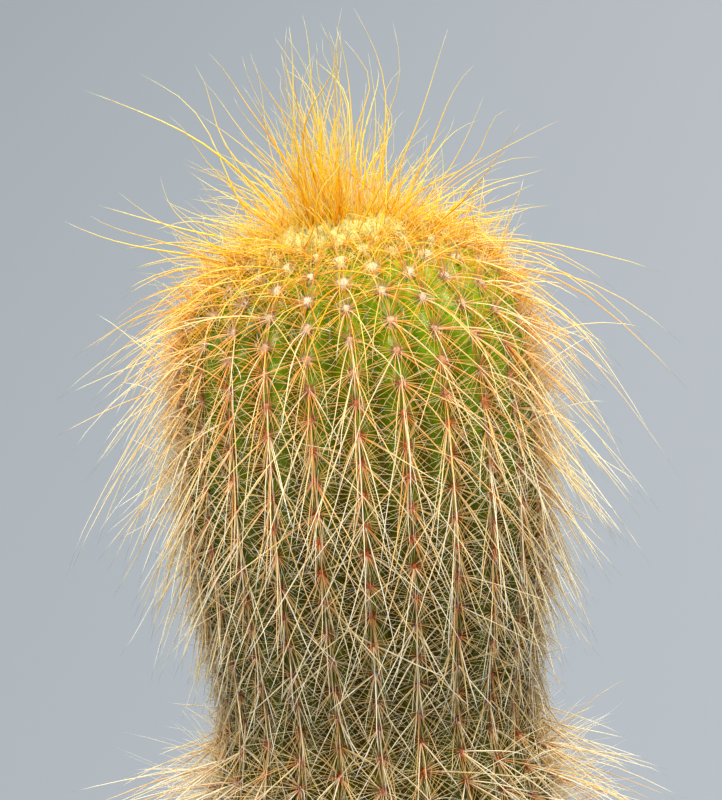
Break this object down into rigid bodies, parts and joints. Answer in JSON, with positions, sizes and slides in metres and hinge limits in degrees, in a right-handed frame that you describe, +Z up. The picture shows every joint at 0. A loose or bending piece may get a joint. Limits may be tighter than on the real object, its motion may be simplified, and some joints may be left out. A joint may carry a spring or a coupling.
{
  "type": "potted golden ball cactus",
  "caption": "Short ribbed column cactus with golden hair-like spines and a woolly crown tuft, planted in a plain round terracotta pot.",
  "frame": {"origin": "centre of the pot's foot, on the surface it stands on", "axes": "+Z up along the pot's axis; the plant leans slightly to -X; the picture looks along +Y"},
  "size_m": [0.164, 0.164, 0.3193],
  "materials": {
    "pot": "matte",
    "soil": "matte",
    "stem": "satin",
    "crown": "satin"
  },
  "bodies": {
    "root": {"pot": "pot", "soil": "soil", "stem": "stem", "crown": "crown"}
  },
  "joints": []
}
